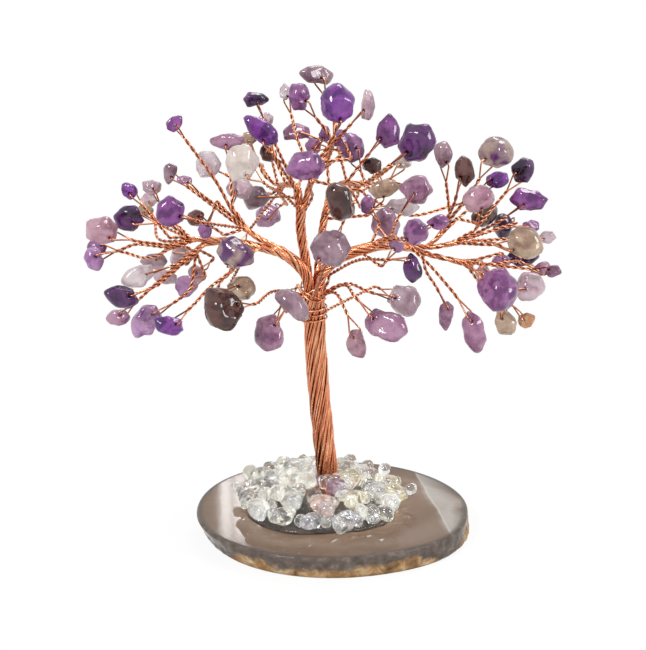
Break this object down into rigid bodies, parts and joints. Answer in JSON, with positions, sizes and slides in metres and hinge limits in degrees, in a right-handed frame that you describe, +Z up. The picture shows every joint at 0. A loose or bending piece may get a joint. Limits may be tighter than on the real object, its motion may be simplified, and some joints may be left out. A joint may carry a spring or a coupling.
{
  "type": "gemstone tree ornament",
  "caption": "Small wire tree with drilled amethyst chips on twisted copper twigs, standing in clear quartz chips on a polished agate slice.",
  "frame": {"origin": "middle of the agate slice's flat underside", "axes": "+Z up, +X to the right and -Y towards the viewer of the pictured side"},
  "size_m": [0.1224, 0.0906, 0.123],
  "materials": {
    "copper_wire": "bright drawn copper wire",
    "amethyst": "tumbled and polished, partly clear",
    "clear_quartz": "tumbled and polished, clear",
    "agate": "polished face, rough rind",
    "clear_glue": "clear, glossy"
  },
  "bodies": {
    "tree": {"agate_slice": "agate", "back_left_branch": "copper_wire", "back_left_chips": "amethyst", "back_left_twigs": "copper_wire", "back_right_branch": "copper_wire", "back_right_chips": "amethyst", "back_right_twigs": "copper_wire", "centre_inner_chips": "amethyst", "centre_inner_twigs": "copper_wire", "centre_limb": "copper_wire", "collar_chips": "amethyst", "collar_twigs": "copper_wire", "crown_branch": "copper_wire", "crown_chips": "amethyst", "crown_twigs": "copper_wire", "glue_bed": "clear_glue", "left_branch": "copper_wire", "left_limb": "copper_wire", "low_left_branch": "copper_wire", "low_left_chips": "amethyst", "low_left_twigs": "copper_wire", "lower_left_branch": "copper_wire", "lower_left_chips": "amethyst", "lower_left_twigs": "copper_wire", "lower_right_branch": "copper_wire", "lower_right_chips": "amethyst", "lower_right_twigs": "copper_wire", "outer_left_branch": "copper_wire", "outer_left_chips": "amethyst", "outer_left_twigs": "copper_wire", "outer_right_branch": "copper_wire", "outer_right_chips": "amethyst", "outer_right_twigs": "copper_wire", "quartz_chips_inner": "clear_quartz", "quartz_chips_middle": "clear_quartz", "quartz_chips_outer": "clear_quartz", "right_branch": "copper_wire", "right_inner_chips": "amethyst", "right_inner_twigs": "copper_wire", "right_limb": "copper_wire", "right_twigs": "copper_wire", "right_upper_branch": "copper_wire", "right_upper_chips": "amethyst", "right_upper_twigs": "copper_wire", "root_wires": "copper_wire", "side_inner_chips": "amethyst", "side_inner_twigs": "copper_wire", "side_limb": "copper_wire", "trunk_binding": "copper_wire", "trunk_wires": "copper_wire", "upper_left_branch": "copper_wire", "upper_left_chips": "amethyst", "upper_left_twigs": "copper_wire"},
    "hanging_chip_front": {"hanging_chip_front": "amethyst"},
    "hanging_chip_low": {"hanging_chip_low": "amethyst"},
    "hanging_chip_right": {"hanging_chip_right": "amethyst"},
    "hanging_chip_side": {"hanging_chip_side": "amethyst"}
  },
  "joints": [
    {"name": "chip_front_swing", "type": "hinge", "parent": "tree", "child": "hanging_chip_front", "pos_m": [0.00573, -0.0128, 0.05699], "axis": [-0.5808, -0.8141, 0], "range_deg": [-20, 20]},
    {"name": "chip_low_swing", "type": "hinge", "parent": "tree", "child": "hanging_chip_low", "pos_m": [0.03478, -0.0104, 0.06054], "axis": [-0.2938, -0.9559, 0], "range_deg": [-20, 20]},
    {"name": "chip_right_swing", "type": "hinge", "parent": "tree", "child": "hanging_chip_right", "pos_m": [0.01878, -0.02, 0.07866], "axis": [-0.4599, -0.888, 0], "range_deg": [-20, 20]},
    {"name": "chip_side_swing", "type": "hinge", "parent": "tree", "child": "hanging_chip_side", "pos_m": [0.02968, 0.00976, 0.05782], "axis": [0.1571, -0.9876, 0], "range_deg": [-20, 20]}
  ]
}
